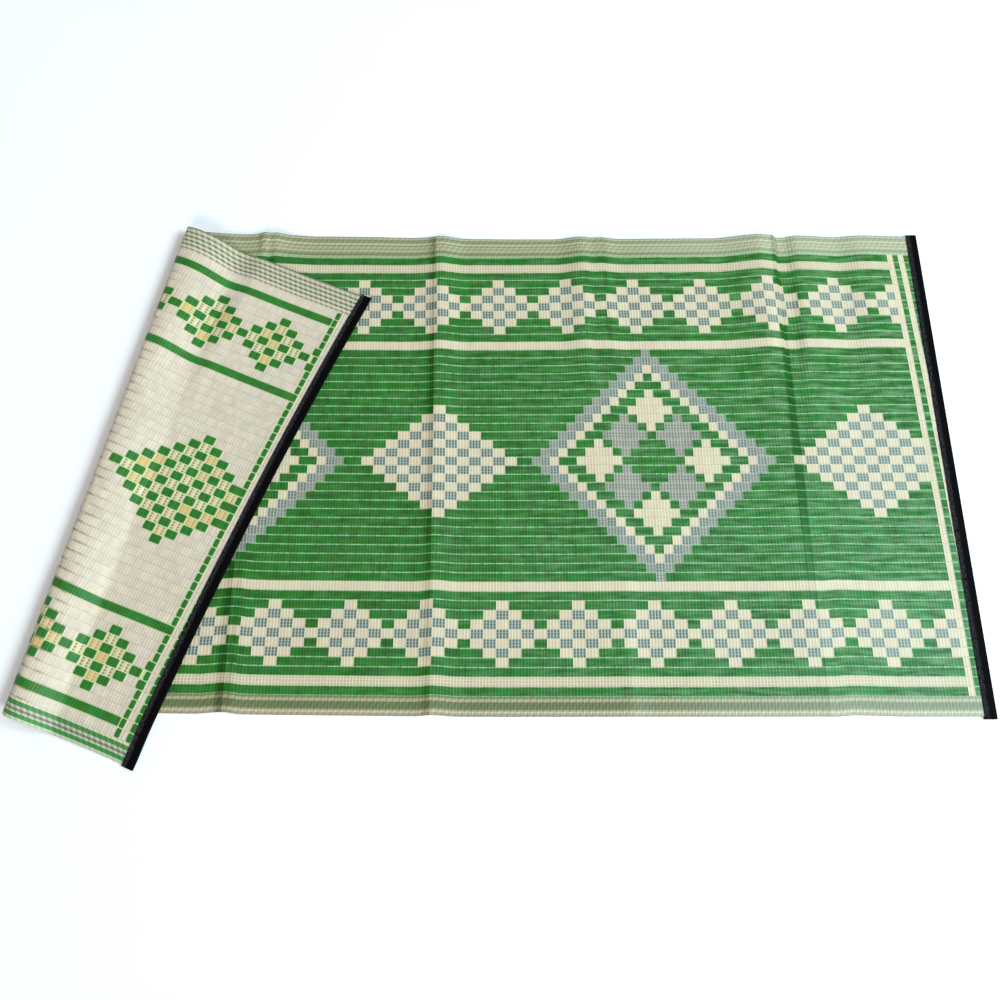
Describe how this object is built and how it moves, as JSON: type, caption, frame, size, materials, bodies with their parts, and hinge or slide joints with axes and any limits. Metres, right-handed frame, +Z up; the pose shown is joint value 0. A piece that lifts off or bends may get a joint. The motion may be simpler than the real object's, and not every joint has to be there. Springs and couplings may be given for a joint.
{
  "type": "woven plastic floor mat",
  "caption": "Thin rectangular woven plastic straw mat in green and cream, laid flat with one end folded back over itself and dark tape binding on both short ends.",
  "frame": {"origin": "centre of the whole mat's bounding box, on the floor that it lies on", "axes": "+X along the mat towards its plain flat end, +Y across it towards the far selvedge, +Z up"},
  "size_m": [1.6312, 1.0146, 0.045],
  "materials": {
    "woven_straw": "woven extruded polypropylene straw with a soft sheen, green face and cream back",
    "binding_tape": "matt black woven tape, folded over the cut end and stitched through"
  },
  "bodies": {
    "root": {"woven_mat": "woven_straw", "plain_end_binding": "binding_tape", "folded_end_binding": "binding_tape"}
  },
  "joints": []
}
